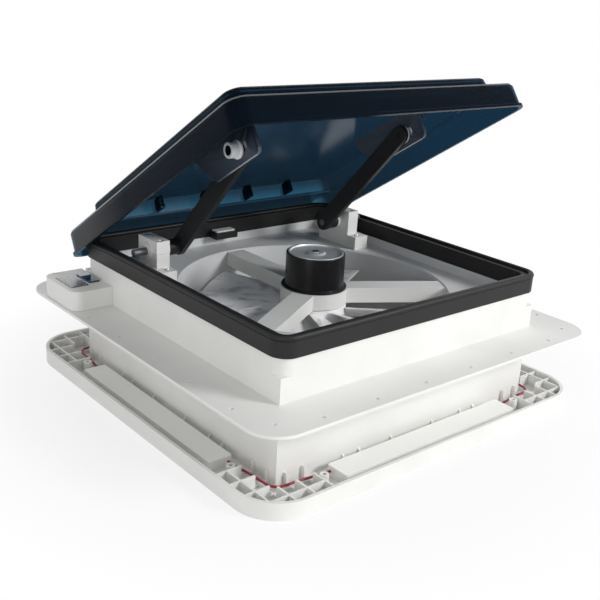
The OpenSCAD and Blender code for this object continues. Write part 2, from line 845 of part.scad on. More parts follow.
module lid_shell() {
    lug_near = hinge_bracket_w / 2 + hinge_side_gap;
    in_w = 2 * (lid_half_w - lid_lip - lid_t);
    in_d = 2 * (lid_half_d - lid_lip - lid_t);
    color(smoke) lid_turn() difference() {
        union() {
            difference() {
                union() {
                    lid_form(0);
                    translate([0, 0, lip_z]) linear_extrude(lid_lip_h)
                        rounded_square(2 * lid_half_w, 2 * lid_half_d, lid_r);
                }
                lid_form(lid_t);
                translate([0, 0, lip_z - 1]) linear_extrude(1 + eps)
                    rounded_square(in_w, in_d, lid_r - lid_t);
            }
            for (x = hinge_places) {
                lid_lug(x + lug_near);
                lid_lug(x - lug_near - hinge_lug_w);
            }
            for (x = lid_rib_places) lid_rib(x);
        }
        translate([0, hinge_y, hinge_z]) rod_x(hinge_pin_r + run_gap, -2 * hinge_pitch, 2 * hinge_pitch);
    }
}

module bracket_outline() {
    back = bracket_u + bracket_l;
    top = panel_under_z - lip_z - bracket_foot_t + eps;
    slot_r = bush_neck_r + slot_gap;
    difference() {
        union() {
            polygon([
                [bracket_u, top], [bracket_u, bracket_low + bracket_nose],
                [bracket_u + bracket_nose, bracket_low], [back - bracket_slope, bracket_low], [back, top]
            ]);
            translate([bracket_u + bracket_nose, bracket_low + bracket_nose]) circle(bracket_nose);
        }
        for (u = [bush_u - slot_travel, bush_u]) translate([u, bush_n]) circle(slot_r);
        translate([bush_u - slot_travel, bush_n - slot_r]) square([slot_travel, 2 * slot_r]);
    }
}

module lid_bracket(side) {
    front_y = -lid_half_d + bracket_u;
    foot_z = panel_under_z - bracket_foot_t;
    color(slate) lid_turn() on_side(side) difference() {
        union() {
            translate([bracket_in, -lid_half_d, lip_z]) rotate([90, 0, 90])
                linear_extrude(bracket_t) bracket_outline();
            box([bracket_in, front_y, foot_z],
                [bracket_in + bracket_foot_w, front_y + bracket_l, panel_under_z]);
        }
        for (y = bracket_screw_places) translate([bracket_screw_x, y, foot_z - 1])
            cylinder(r = screw_r + screw_gap, h = bracket_foot_t + 2);
    }
}

module bracket_screws() {
    color(steel) lid_turn() for (s = [-1, 1], y = bracket_screw_places) on_side(s)
        translate([bracket_screw_x, y, panel_under_z - bracket_foot_t]) mirror([0, 0, 1])
            screw(bracket_foot_t);
}

// Lift

module block_body(z0, z1) {
    half_d = block_d / 2;
    intersection() {
        union() {
            box([block_x, lift_y - half_d, deck_top], [block_out, lift_y + half_d, block_top]);
            translate([0, lift_y, lift_h]) rod_x(boss_r, block_x - boss_l, block_out + boss_out);
        }
        box([block_x - 2 * boss_l, lift_y - block_d, z0],
            [block_out + 2 * boss_out, lift_y + block_d, z1]);
    }
}

// Bore for the lift shaft
module block_bore() {
    translate([0, lift_y, lift_h])
        rod_x(lift_shaft_r + run_gap, block_x - 2 * boss_l, block_out + 2 * boss_out);
}

module block_foot_holes() {
    for (y = lug_places) translate([lug_x, y, deck_low - 1])
        cylinder(r = screw_r + screw_gap, h = deck_t + 2);
}

module lift_block(side) {
    base_half = block_d / 2 + lug_d;
    color(white) on_side(side) difference() {
        union() {
            block_body(deck_top, lift_h - split_gap);
            box([block_x, lift_y - base_half, deck_top],
                [block_out + lug_out, lift_y + base_half, deck_top + lug_h]);
        }
        block_bore();
        for (y = lug_places) translate([lug_x, y, deck_top - 1])
            cylinder(r = screw_r + screw_gap, h = lug_h + 2);
        for (y = cap_screw_places) translate([cap_screw_x, y, lift_h - cap_screw_l - 2])
            cylinder(r = screw_r + screw_gap, h = cap_screw_l + 2);
    }
}

module lift_cap(side) {
    color(white) on_side(side) difference() {
        block_body(lift_h + split_gap, block_top);
        block_bore();
        for (y = cap_screw_places) translate([cap_screw_x, y, 0]) {
            translate([0, 0, lift_h]) cylinder(r = screw_r + screw_gap, h = block_h);
            translate([0, 0, block_top - screw_head_h])
                cylinder(r = screw_head_r + 2 * screw_gap, h = 2 * screw_head_h);
        }
    }
}

module lift_block_screws() {
    head_z = block_top - screw_head_h;
    color(steel) for (s = [-1, 1]) on_side(s) {
        for (y = cap_screw_places) translate([cap_screw_x, y, head_z]) screw(head_z - lift_h + cap_screw_l);
        for (y = lug_places) translate([lug_x, y, deck_top + lug_h]) screw(lug_h + deck_t);
    }
}

module lift_motor(side) {
    end_h = 2;
    color([0.30, 0.31, 0.33]) on_side(side) translate([lift_motor_x, lift_y, deck_low - lift_motor_h]) {
        cylinder(r = lift_motor_r, h = lift_motor_h - lift_motor_neck);
        cylinder(r = 3 / 4 * lift_motor_r, h = lift_motor_h);
        translate([0, 0, -end_h]) cylinder(r = lift_motor_r / 3, h = end_h + eps);
    }
}

module lift_shaft(side) {
    shaft_in = 1;
    color([0.45, 0.46, 0.48]) on_side(side) translate([0, lift_y, lift_h])
        rod_x(lift_shaft_r, arm_in - shaft_in, block_out + lift_stub);
}

module lift_arm(side) {
    color(black) on_side(side) arm_turn() difference() {
        union() {
            translate([arm_in, 0, 0]) rotate([90, 0, 90]) linear_extrude(arm_t) {
                circle(d = arm_w);
                translate([-arm_l, 0]) circle(d = arm_w);
                translate([-arm_l, -arm_w / 2]) square([arm_l, arm_w]);
            }
            rod_x(boss_r, arm_in, arm_hub_x);
        }
        rod_x(lift_shaft_r + press_gap, 0, 2 * block_x);
        translate([0, -arm_l, 0]) rod_x(bush_pin_r + press_gap, arm_in - 1, arm_out + 1);
    }
}

// Bush on the arm's end: pin in the arm, collar, neck in the slot, flange and open tube
module slide_bush(side) {
    tube_end = bush_body_x + bush_l;
    color([0.78, 0.79, 0.80]) on_side(side) arm_turn() translate([0, -arm_l, 0]) difference() {
        union() {
            rod_x(bush_pin_r, arm_in, arm_out + eps);
            rod_x(bush_collar_r, arm_out, arm_out + bush_collar_t);
            rod_x(bush_neck_r, arm_out, bush_flange_x + eps);
            rod_x(bush_flange_r, bush_flange_x, bush_body_x);
            rod_x(bush_r, bush_body_x - eps, tube_end);
        }
        rod_x(bush_r - bush_wall, bush_body_x, tube_end + 1);
    }
}

// Fan and motor

module spider_arm(a) {
    half = spider_w / 2;
    rotate([0, 0, a]) difference() {
        box([spider_hub_r - 4, -half, spider_low], [duct_r, half, spider_top]);
        box([spider_hub_r, -half + spider_t, spider_low - 1],
            [duct_r - spider_pad, half - spider_t, spider_top - spider_t]);
    }
}

module motor_spider() {
    color(pale_grey) translate([0, fan_y, 0]) difference() {
        intersection() {
            union() {
                translate([0, 0, spider_low]) cylinder(r = spider_hub_r, h = spider_h, $fn = 96);
                for (a = spider_angles) spider_arm(a);
            }
            translate([0, 0, spider_low - 1]) cylinder(r = duct_r - spider_gap, h = spider_h + 2, $fn = 96);
        }
        translate([0, 0, spider_low - 1]) {
            cylinder(r = 3 / 4 * motor_r, h = spider_h - spider_t + 1);
            cylinder(r = 3 / 2 * shaft_r, h = spider_h + 2);
        }
        for (a = spider_angles) rotate([0, 0, a]) {
            translate([0, 0, spider_top - spider_h / 2])
                rod_x(screw_r + screw_gap, duct_r - spider_pad + 2, duct_r + 1);
            rotate([0, 0, spider_between]) translate([motor_screw_r, 0, spider_low - 1])
                cylinder(r = screw_r + screw_gap, h = spider_h + 2);
        }
    }
}

module motor_can() {
    color(black) translate([0, fan_y, motor_base]) difference() {
        union() {
            cylinder(r = motor_r, h = motor_h, $fn = 96);
            cylinder(r = motor_r + motor_lip, h = motor_lip_h, $fn = 96);
        }
        translate([0, 0, motor_floor]) cylinder(r = motor_r - motor_t, h = motor_h, $fn = 96);
        translate([0, 0, -1]) cylinder(r = shaft_r + run_gap, h = motor_floor + 2);
        for (a = spider_angles) rotate([0, 0, a + spider_between]) translate([motor_screw_r, 0, -1])
            cylinder(r = screw_r + screw_gap, h = motor_floor - 1);
    }
}

module motor_cap() {
    rim = motor_r - motor_t - 0.05;
    rim_up = cap_t + cap_seat + cap_rim_up;
    color(steel) translate([0, fan_y, motor_top - cap_seat - cap_t]) difference() {
        union() {
            cylinder(r = rim, h = cap_t, $fn = 96);
            difference() {
                cylinder(r = rim, h = rim_up, $fn = 96);
                translate([0, 0, -1]) cylinder(r = rim - cap_rim_t, h = rim_up + 2, $fn = 96);
            }
            cylinder(r = cap_boss_r, h = cap_t + cap_boss_h);
        }
        translate([0, 0, -1]) cylinder(r = shaft_r + run_gap, h = cap_t + cap_boss_h + 2);
    }
}

module motor_magnet() {
    color([0.25, 0.25, 0.26]) translate([0, fan_y, motor_base + motor_floor]) difference() {
        cylinder(r = magnet_r, h = magnet_h, $fn = 96);
        translate([0, 0, -1]) cylinder(r = magnet_r - magnet_t, h = motor_h, $fn = 96);
    }
}

module motor_armature() {
    low = motor_base + motor_floor + (magnet_h - armature_h) / 2;
    color([0.60, 0.36, 0.18]) translate([0, fan_y, low]) difference() {
        cylinder(r = magnet_r - magnet_t - armature_gap, h = armature_h, $fn = 96);
        translate([0, 0, -1]) cylinder(r = shaft_r + press_gap, h = motor_h);
    }
}

module motor_screws() {
    color(steel) translate([0, fan_y, spider_top - spider_t]) for (a = spider_angles)
        rotate([0, 0, a + spider_between]) translate([motor_screw_r, 0, 0])
            mirror([0, 0, 1]) screw(spider_t + 1.5);
}

module spider_screws() {
    color(steel) translate([0, fan_y, spider_top - spider_h / 2]) for (a = spider_angles) rotate([0, 0, a])
        translate([duct_r + duct_t + screw_gap, 0, 0]) rotate([0, 90, 0]) screw(spider_screw_l);
}

module motor_shaft() {
    low = hub_low - nut_h - shaft_end;
    color(steel) translate([0, fan_y, low]) cylinder(r = shaft_r, h = motor_top + 1 - low);
}

// Arched blade section, centred on its chord
module blade_section() {
    thin = 2.4;
    chord = [for (i = [0:blade_steps]) i / blade_steps - 0.5];
    arch = [for (x = chord) blade_arch * blade_root * (1 - 4 * x * x)];
    upper = [for (i = [0:blade_steps]) [chord[i] * blade_root, arch[i]]];
    lower = [for (i = [blade_steps:-1:0])
        [chord[i] * blade_root, arch[i] - blade_t * (1 - thin * chord[i] * chord[i])]];
    polygon(concat(upper, lower));
}

module blade() {
    spread = [blade_tip / blade_root, 1];
    translate([blade_root_r, 0, 0]) rotate([0, 90, 0]) rotate([0, 0, 90 - blade_pitch])
        linear_extrude(blade_span, twist = -blade_twist, scale = spread, slices = blade_steps)
            blade_section();
}

module fan_rotor() {
    color([0.83, 0.84, 0.84]) translate([0, fan_y, hub_low]) difference() {
        union() {
            difference() {
                cylinder(r = hub_r, h = hub_h, $fn = 96);
                translate([0, 0, hub_t]) cylinder(r = hub_r - hub_t, h = hub_h, $fn = 96);
            }
            cylinder(r = 5 / 2 * shaft_r, h = hub_h);
            for (i = [0:blade_n - 1]) translate([0, 0, blade_z - hub_low]) rotate([0, 0, 360 / blade_n * i])
                blade();
        }
        translate([0, 0, -1]) cylinder(r = shaft_r + press_gap, h = hub_h + 2);
    }
}

module fan_nut() {
    color(steel) translate([0, fan_y, hub_low - nut_h]) difference() {
        cylinder(r = 2 * shaft_r, h = nut_h, $fn = 6);
        translate([0, 0, -1]) cylinder(r = shaft_r + press_gap, h = nut_h + 2);
    }
}

// Rain sensor on the flange

module rain_sensor_housing() {
    color(white) translate([0, sensor_y, flange_top]) difference() {
        linear_extrude(sensor_h) {
            translate([sensor_x, 0]) rounded_square(sensor_w, sensor_l, sensor_r);
            translate([sensor_x, -sensor_l / 2]) square([sensor_w / 2, sensor_l]);
        }
        box([plate_x, -plate_l / 2, sensor_h - plate_t], [plate_x + plate_w, plate_l / 2, sensor_h + 1]);
        box([lens_x, -lens_box[1] / 2, sensor_h - lens_sink],
            [lens_x + lens_box[0], lens_box[1] / 2, sensor_h + 1]);
    }
}

module rain_sensor_plate() {
    step = (plate_l - 4) / plate_bars;
    bar_up = 0.6;
    color(steel) translate([plate_x, sensor_y - plate_l / 2, flange_top + sensor_h - plate_t]) {
        box([inset_gap, inset_gap, 0], [plate_w - inset_gap, plate_l - inset_gap, plate_t]);
        for (i = [0:plate_bars - 1]) translate([plate_edge, plate_edge + i * step, plate_t - eps])
            cube([plate_w - 2 * plate_edge, step / 2, bar_up]);
    }
}

module rain_sensor_lens() {
    lens_z = flange_top + sensor_h - lens_sink;
    color([0.10, 0.20, 0.30]) translate([lens_x, sensor_y - lens_box[1] / 2, lens_z])
        box([inset_gap, inset_gap, 0], [lens_box[0] - inset_gap, lens_box[1] - inset_gap, lens_box[2]]);
}

for (i = [0:3]) {
    light_bar(90 * i);
    light_lens(90 * i);
}
for (s = [-1, 1]) {
    hand = s < 0 ? "left" : "right";
    hinge_bracket(s * hinge_pitch);
    lift_block(s);
    lift_cap(s);
    lift_motor(s);
    lift_shaft(s);
    lift_arm(s);
    slide_bush(s);
    lid_bracket(s);
}
ceiling_trim();
light_strips();
light_wires();
roof_base();
rim_frame();
rim_seal();
fan_deck();
lid_sensor_pad();
control_box();
hinge_bracket(0);  // hinge_bracket_middle
hinge_pin();
motor_spider();
motor_can();
motor_cap();
motor_magnet();
motor_screws();
spider_screws();
motor_shaft();
motor_armature();
fan_rotor();
fan_nut();
lift_block_screws();
lid_shell();
bracket_screws();
rain_sensor_housing();
rain_sensor_plate();
rain_sensor_lens();
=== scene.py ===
# %% [markdown]
# # A caravan roof vent, dressed for its picture
# The solids of the vent are already made and packed: this lesson loads them as a fixed frame, rounds
# their edges, adds the small parts that a camera sees, and gives each piece a finish built from shader
# nodes. Lengths are in metres. X runs along the lid's hinge, +Y points to the hinge side and Z is up.
# AXIS is a point on the fan's upright axis.

# %% Load the frame
import json
import math

import bmesh
import bpy
from mathutils import Matrix, Vector

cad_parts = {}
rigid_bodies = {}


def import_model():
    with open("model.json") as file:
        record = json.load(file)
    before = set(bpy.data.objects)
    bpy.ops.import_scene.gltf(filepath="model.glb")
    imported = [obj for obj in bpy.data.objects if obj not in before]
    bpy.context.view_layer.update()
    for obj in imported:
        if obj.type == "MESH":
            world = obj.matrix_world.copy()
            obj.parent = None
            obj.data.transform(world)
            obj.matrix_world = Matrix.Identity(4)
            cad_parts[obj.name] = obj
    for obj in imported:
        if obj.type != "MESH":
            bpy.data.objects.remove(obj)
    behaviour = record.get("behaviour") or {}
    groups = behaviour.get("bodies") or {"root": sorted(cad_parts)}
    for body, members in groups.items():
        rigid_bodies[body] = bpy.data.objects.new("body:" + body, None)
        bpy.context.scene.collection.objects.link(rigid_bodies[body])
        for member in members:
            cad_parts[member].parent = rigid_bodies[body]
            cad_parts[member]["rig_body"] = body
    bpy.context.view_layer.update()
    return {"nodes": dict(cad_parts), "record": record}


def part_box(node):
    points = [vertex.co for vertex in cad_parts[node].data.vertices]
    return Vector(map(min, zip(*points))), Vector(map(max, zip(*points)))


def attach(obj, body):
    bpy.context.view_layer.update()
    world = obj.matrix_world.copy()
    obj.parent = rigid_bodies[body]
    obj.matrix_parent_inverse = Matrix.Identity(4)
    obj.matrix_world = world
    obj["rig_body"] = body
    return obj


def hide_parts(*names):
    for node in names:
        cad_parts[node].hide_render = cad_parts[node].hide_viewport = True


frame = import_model()
slot_of = {row["node"]: row["material_slot"] for row in frame["record"]["subparts"]}
body_of = {node: part["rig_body"] for node, part in frame["nodes"].items()}
scene = bpy.context.scene
scene.view_settings.view_transform = "Standard"
MM = 0.001
AXIS = Vector((0, -14, 0)) * MM
SIDES = ("front", "right", "back", "left")
HANDS = ("left", "right")

# %% [markdown]
# ## Camera
# The view is taken from the left front corner, a little above the open lid. The camera is placed by its
# direction from the object, its distance and a small roll, so its three axes are worked out from those
# angles.

# %% Camera
AZIMUTH = math.radians(-41.016)
ELEVATION = math.radians(19.730)
ROLL = math.radians(3.409)
DISTANCE = 1.01293
FOCAL_PIXELS = 899.03
PICTURE_PIXELS = 600
AIM = Vector((-0.004492, 0.002617, 0.094609))

outward = math.cos(ELEVATION)
back = Vector((math.sin(AZIMUTH) * outward, -math.cos(AZIMUTH) * outward, math.sin(ELEVATION)))
level = Vector((math.cos(AZIMUTH), math.sin(AZIMUTH), 0))
upright = back.cross(level)
right = level * math.cos(ROLL) + upright * math.sin(ROLL)
up = upright * math.cos(ROLL) - level * math.sin(ROLL)
lens = bpy.data.cameras.new("camera")
lens.sensor_width = 36
lens.lens = FOCAL_PIXELS / PICTURE_PIXELS * lens.sensor_width
camera = bpy.data.objects.new("camera", lens)
scene.collection.objects.link(camera)
axes = Matrix((right, up, back)).transposed().to_4x4()
camera.matrix_world = Matrix.Translation(AIM + back * DISTANCE) @ axes
scene.camera = camera
print("camera lens", round(lens.lens, 2), "mm")

# %% [markdown]
# ## Shader sums
# A finish is a small net of nodes. Writing the sums as Python expressions keeps them readable: this class
# wraps a socket, every operator adds one Math node, and one method makes any other node.

# %% Shader sums
class Link:
    """A node's output that can take part in sums."""

    def __init__(self, tree, socket=None):
        self.tree = tree
        self.socket = socket

    def node(self, kind, settings=None, sockets=None, out=0):
        """Any node: its settings come first, then the values or links of its sockets."""
        made = self.tree.nodes.new(kind)
        for key, value in (settings or {}).items():
            setattr(made, key, value)
        for key, value in (sockets or {}).items():
            if isinstance(value, Link):
                self.tree.links.new(value.socket, made.inputs[key])
            else:
                made.inputs[key].default_value = value
        return Link(self.tree, made.outputs[out])

    def sum(self, operation, first, second=0.0):
        return self.node("ShaderNodeMath", {"operation": operation}, {0: first, 1: second})

    def __add__(self, other):
        return self.sum("ADD", self, other)

    __radd__ = __add__

    def __sub__(self, other):
        return self.sum("SUBTRACT", self, other)

    def __rsub__(self, other):
        return self.sum("SUBTRACT", other, self)

    def __mul__(self, other):
        return self.sum("MULTIPLY", self, other)

    __rmul__ = __mul__

    def __truediv__(self, other):
        return self.sum("DIVIDE", self, other)

    def __rtruediv__(self, other):
        return self.sum("DIVIDE", other, self)

    def __pow__(self, other):
        return self.sum("POWER", self, other)

    def sine(self):
        return self.sum("SINE", self)

    def cosine(self):
        return self.sum("COSINE", self)

    def within(self, low, high):
        """This value kept between two numbers."""
        return self.sum("MINIMUM", self.sum("MAXIMUM", self, low), high)

    def ramp(self, low, high):
        """0 below low, 1 above high."""
        sockets = {"Value": self, "From Min": low, "From Max": high}
        return self.node("ShaderNodeMapRange", {"clamp": True}, sockets)

    def band(self, rise, rise_end, fall, fall_end):
        """1 from rise_end to fall, 0 outside rise and fall_end."""
        return self.ramp(rise, rise_end) * (1 - self.ramp(fall, fall_end))

    def between(self, first, second):
        """Colour that goes from the first to the second as this goes from 0 to 1."""
        return self.node("ShaderNodeMix", {"data_type": "RGBA"}, {0: self, 6: first, 7: second}, out=2)


def object_place(material):
    """The Object coordinates of a material's surface."""
    return Link(material.node_tree).node("ShaderNodeTexCoord", out="Object")


def new_finish(name):
    """A new material, its shader and the Object coordinates."""
    material = bpy.data.materials.new(name)
    material.use_nodes = True
    shader = material.node_tree.nodes["Principled BSDF"]
    return material, shader, object_place(material)


def feed(shader, **links):
    """Joins links to the shader's sockets, whose names are written with _ for a space."""
    for key, link in links.items():
        link.tree.links.new(link.socket, shader.inputs[key.replace("_", " ")])


def fixed(shader, **values):
    """Sets the shader's sockets that are the same all over the piece."""
    for key, value in values.items():
        shader.inputs[key.replace("_", " ")].default_value = value


def grain(place, scale, detail=3.0):
    """Noise from about 0 to 1 at a scale in repeats a metre."""
    return place.node("ShaderNodeTexNoise", None, {"Vector": place, "Scale": scale, "Detail": detail})


def bump(height, strength, depth):
    """Normal of a surface with this relief, depth in metres."""
    return height.node("ShaderNodeBump", None, {"Height": height, "Strength": strength, "Distance": depth})


def tint(colour, factor):
    """The same colour, darker or lighter."""
    return tuple(min(1.0, channel * factor) for channel in colour[:3]) + (1.0,)


print("shader sums ready")

# %% [markdown]
# ## Finishes of the moulded plastics
# Moulded plastic is never quite even: the tool leaves a fine grain, the colour drifts slightly with the
# flow of the melt, and handling makes the gloss uneven. One recipe gives all three, and each plastic gets
# its own amounts.

# %% Moulded plastics
finishes = {}


def moulded(slot, colour, rough, grain_scale=1500.0, grain_depth=0.04 * MM, drift=0.04, gloss=0.5):
    """Plastic of one colour with a fine grain; gloss is the strength of its mirror."""
    material, shader, place = new_finish(slot)
    cloud = grain(place, 14.0)
    fine = grain(place, grain_scale, 2.0)
    smear = grain(place, 56.0, 4.0)
    feed(
        shader,
        Base_Color=cloud.ramp(0.3, 0.7).between(tint(colour, 1 - drift), tint(colour, 1 + drift)),
        Roughness=rough * (0.85 + 0.3 * smear),
        Normal=bump(fine, 0.35, grain_depth),
    )
    fixed(shader, Specular_IOR_Level=gloss)
    finishes[slot] = material


moulded("white_plastic", (0.80, 0.80, 0.78), 0.42)
moulded("grey_plastic", (0.70, 0.71, 0.71), 0.45)
moulded("bush_plastic", (0.82, 0.83, 0.84), 0.35, drift=0.02)
# Painted light: the light bars' white plastic is made lighter than white_plastic, to offset the shade that
# the flange casts on them.
moulded("bar_plastic", (0.90, 0.90, 0.88), 0.5, drift=0.02)
moulded("black_plastic", (0.020, 0.020, 0.021), 0.42, grain_depth=0.06 * MM, gloss=0.2)
moulded("slate_plastic", (0.065, 0.080, 0.105), 0.35, drift=0.1, gloss=0.3)
moulded("seal_rubber", (0.008, 0.008, 0.008), 0.5, 900.0, 0.08 * MM, gloss=0.3)
moulded("light_strip", (0.80, 0.72, 0.40), 0.5)
moulded("light_lens", (0.82, 0.84, 0.86), 0.3)
moulded("red_wire", (0.30, 0.018, 0.04), 0.4, 2500.0)
print("plastics", sorted(finishes))

# %% [markdown]
# ## Bore of the slide bushes
# Little light gets into the bore of each bush, so it looks black. Its surface lies nearer to the bush's
# axis than any other, and the distance from that axis picks the colour.

# %% Bore of the slide bushes
BORE_RADIUS = 4.9 * MM
BORE_FADE = 0.05 * MM
material = finishes["bush_plastic"]
shader = material.node_tree.nodes["Principled BSDF"]
place = object_place(material)
low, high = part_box("slide_bush_left")
axis_point = (0, -(low[1] + high[1]) / 2, -(low[2] + high[2]) / 2)
aside = place.node("ShaderNodeMapping", None, {"Vector": place, "Location": axis_point, "Scale": (0, 1, 1)})
radius = aside.node("ShaderNodeVectorMath", {"operation": "LENGTH"}, {0: aside}, out=1)
pale = Link(material.node_tree, shader.inputs["Base Color"].links[0].from_socket)
outside = radius.ramp(BORE_RADIUS - BORE_FADE, BORE_RADIUS + BORE_FADE)
feed(shader, Base_Color=outside.between((0.01, 0.01, 0.012, 1), pale))
print("bush bore is dark inside", BORE_RADIUS / MM, "mm")

# %% [markdown]
# ## Finishes of the metals
# Turned and rolled metal keeps the marks of its tool, so its gloss changes in thin lines round the axis
# or along it. A Wave texture would be too regular; noise stretched along one axis gives lines of uneven
# strength.

# %% Metals
def metal(slot, colour, rough, stretch=(1, 1, 0.02), line_scale=900.0, metallic=1.0, gloss=0.5):
    """Metal with marks along one axis; stretch makes the noise long where it is small."""
    material, shader, place = new_finish(slot)
    lines = place.node("ShaderNodeMapping", None, {"Vector": place, "Scale": stretch})
    scratch = grain(lines, line_scale)
    stain = grain(place, 40.0)
    feed(
        shader,
        Base_Color=stain.ramp(0.35, 0.75).between(tint(colour, 1.0), tint(colour, 0.82)),
        Roughness=rough * (0.7 + 0.6 * scratch),
        Normal=bump(scratch, 0.12, 0.03 * MM),
    )
    fixed(shader, Metallic=metallic, Specular_IOR_Level=gloss)
    finishes[slot] = material


metal("steel", (0.62, 0.63, 0.64), 0.28)
metal("polished_steel", (0.75, 0.77, 0.77), 0.4, metallic=0.6)
metal("grey_metal", (0.16, 0.165, 0.18), 0.5, metallic=0.6)
metal("black_metal", (0.008, 0.008, 0.009), 0.3, metallic=0.0, gloss=0.3)
metal("magnet", (0.16, 0.16, 0.17), 0.6)
metal("winding", (0.50, 0.24, 0.09), 0.4, stretch=(1, 1, 40))
print("metals ready")

# %% [markdown]
# ## Finish of the fan
# The blades are thin and pale. Darker streaks are painted on their faces as painted shade, for the shade in
# the gaps between the blades and the shadows on them; none are painted near the hub.
# Noise on the angle round the axis, with the distance from it counted only a little, gives streaks that
# follow the blades.

# %% Fan plastic
HUB_EDGE, STREAKS_FULL = 42 * MM, 55 * MM
material, shader, place = new_finish("fan_plastic")
parts = place.node("ShaderNodeSeparateXYZ", None, {0: place}).socket.node.outputs
x, y = Link(place.tree, parts["X"]), Link(place.tree, parts["Y"]) - AXIS.y
radius = (x * x + y * y) ** 0.5
polar = place.node("ShaderNodeCombineXYZ", None, {0: place.sum("ARCTAN2", y, x), 1: 4.0 * radius})
streaks = grain(polar, 9.0, 4.0)
# Painted shade: darker streaks on the pale blades, away from the hub.
dark = (1 - streaks.ramp(0.34, 0.48)) * radius.ramp(HUB_EDGE, STREAKS_FULL)
feed(
    shader,
    Base_Color=dark.between((0.90, 0.90, 0.90, 1), (0.54, 0.55, 0.56, 1)),
    Roughness=0.3 + 0.2 * streaks,
    Normal=bump(grain(place, 1500.0, 2.0), 0.3, 0.04 * MM),
)
finishes["fan_plastic"] = material
print("fan plastic ready")

# %% [markdown]
# ## Finish of the smoked lid
# The lid is dark blue smoked sheet. Light passes through it weakly and takes on its blue. The shader's
# own transmission does this; its colour is what is left of white light after one pass through the wall.
# The sheet is painted a paler blue along the step of the panel inside the lid, as a painted highlight, and
# on the sides at the hinge corners, as a painted reflection. The rounded edge along its top and the hinge
# end of its sides are polished, and a clear coat makes them bright. Distances measured from the hinge,
# along the open lid and out of it, find those places.

# %% Smoked sheet
HINGE = Vector((0, 0.1828, 0.11945))
LID_OPEN = math.radians(32.35)
ALONG_LID = Vector((0, -math.cos(LID_OPEN), math.sin(LID_OPEN)))
OUT_OF_LID = Vector((0, math.sin(LID_OPEN), math.cos(LID_OPEN)))
SIDE_WALL = (0.176, 0.180)
HINGE_CORNER = (-0.004, 0.016)
HINGE_END = (0.05, 0.15)
PANEL_STEP = (0.036, 0.038, 0.0425, 0.0445)
STEP_FOOT = (0.025, 0.030, 0.060, 0.065)
TOP_EDGE = (0.0303, 0.0307, 0.0322, 0.0325)


def measured(place, way):
    """How far a point lies from the hinge, along one direction of the open lid."""
    sockets = {0: place, 1: tuple(way)}
    return place.node("ShaderNodeVectorMath", {"operation": "DOT_PRODUCT"}, sockets, out=1) - HINGE.dot(way)


def smoked(slot, colour, deep, painted_light_colour, passes, rough, bend):
    """Clear dark sheet; a low bend of the light leaves a weak mirror."""
    material, shader, place = new_finish(slot)
    dust = grain(place, 700.0, 2.0).ramp(0.62, 0.8)
    along = measured(place, ALONG_LID)
    height = measured(place, OUT_OF_LID)
    uneven = along.ramp(0.04, 0.24) * (0.8 + 0.4 * grain(place, 9.0))
    cloud = uneven.between(tint(deep, 1), tint(colour, 1))
    across = place.node("ShaderNodeSeparateXYZ", None, {0: place})
    side = across.sum("ABSOLUTE", across).ramp(*SIDE_WALL)
    # Painted highlight along the step of the panel inside the lid, and painted reflection on the sides at
    # the hinge corners: both take the paler blue.
    step = along.band(*PANEL_STEP)
    corner = 1 - along.ramp(*HINGE_CORNER)
    edge = height.band(*TOP_EDGE) * (1 - along.band(*STEP_FOOT) * (1 - side))
    feed(
        shader,
        Base_Color=(0.35 * step * (1 - side) + 0.6 * corner * side).between(cloud, tint(painted_light_colour, 1)),
        Roughness=rough + 0.05 * dust,
        Coat_Weight=0.25 * side * (1 - along.ramp(*HINGE_END)) + edge,
    )
    fixed(shader, Transmission_Weight=passes, IOR=bend, Coat_Roughness=0.1, Coat_IOR=1.8)
    finishes[slot] = material


smoked(
    "smoked_plastic", colour=(0.010, 0.034, 0.066), deep=(0.009, 0.022, 0.036), painted_light_colour=(0.06, 0.25, 0.42),
    passes=0.9, rough=0.14, bend=1.1,
)
print("smoked sheet ready")

# %% Sensor lens
material, shader, place = new_finish("sensor_lens")
swirl = grain(place, 60.0)
feed(shader, Base_Color=swirl.ramp(0.3, 0.7).between((0.010, 0.030, 0.055, 1), (0.03, 0.09, 0.15, 1)))
fixed(shader, Roughness=0.08, Coat_Weight=1.0, Coat_Roughness=0.03)
finishes["sensor_lens"] = material
missing = sorted(set(slot_of.values()) - set(finishes))
print("finishes", len(finishes), "missing", missing)

# %% [markdown]
# ## Light wires
# Four thin red wires join the light bars round the corners of the trim. Each leaves one bar's end, lies
# on the ribs, goes round the collar's corner and enters the next bar. A curve with a round bevel is a
# wire by nature, and its route repeats the solid's own points, so the length is known.

# %% Light wires
COLLAR_HALF = 176.5
WIRE_RADIUS = 1.3
HALF_ROUTE = [
    (13.5, 54, 8.3), (13.5, 48, 8.3), (13, 40, 8.5), (12, 31, 8.8), (11, 22, 9),
    (10.5, 13, 9), (10, 5, 8.9), (9, -2, 8.7), (6, -6, 8.7),
]


def corner_route(turn):
    """The wire's points round one corner, in metres."""
    near = [(-COLLAR_HALF - out, -COLLAR_HALF + along, rise) for out, along, rise in HALF_ROUTE]
    far = [(y, x, z) for x, y, z in reversed(near[:-1])]
    spin = Matrix.Rotation(math.radians(turn), 3, "Z")
    return [spin @ Vector(point) * MM for point in near + far]


def wire(name, points, radius, finish):
    """A round wire through these points, as one curve."""
    curve = bpy.data.curves.new(name, "CURVE")
    curve.dimensions = "3D"
    curve.bevel_depth = radius
    curve.bevel_resolution = 3
    curve.use_fill_caps = True
    line = curve.splines.new("POLY")
    line.points.add(len(points) - 1)
    for place, point in zip(line.points, points):
        place.co = (*point, 1)
    line.use_smooth = True
    curve.materials.append(finish)
    part = bpy.data.objects.new(name, curve)
    scene.collection.objects.link(part)
    return part


wires = []
for number in range(4):
    route = corner_route(90 * number)
    length = sum((b - a).length for a, b in zip(route, route[1:]))
    piece = wire(f"light_wire_{number}", route, WIRE_RADIUS * MM, finishes["red_wire"])
    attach(piece, body_of["light_wires"])
    wires.append(piece)
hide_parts("light_wires")
print("wires", len(wires), "each", round(length / MM, 1), "mm")
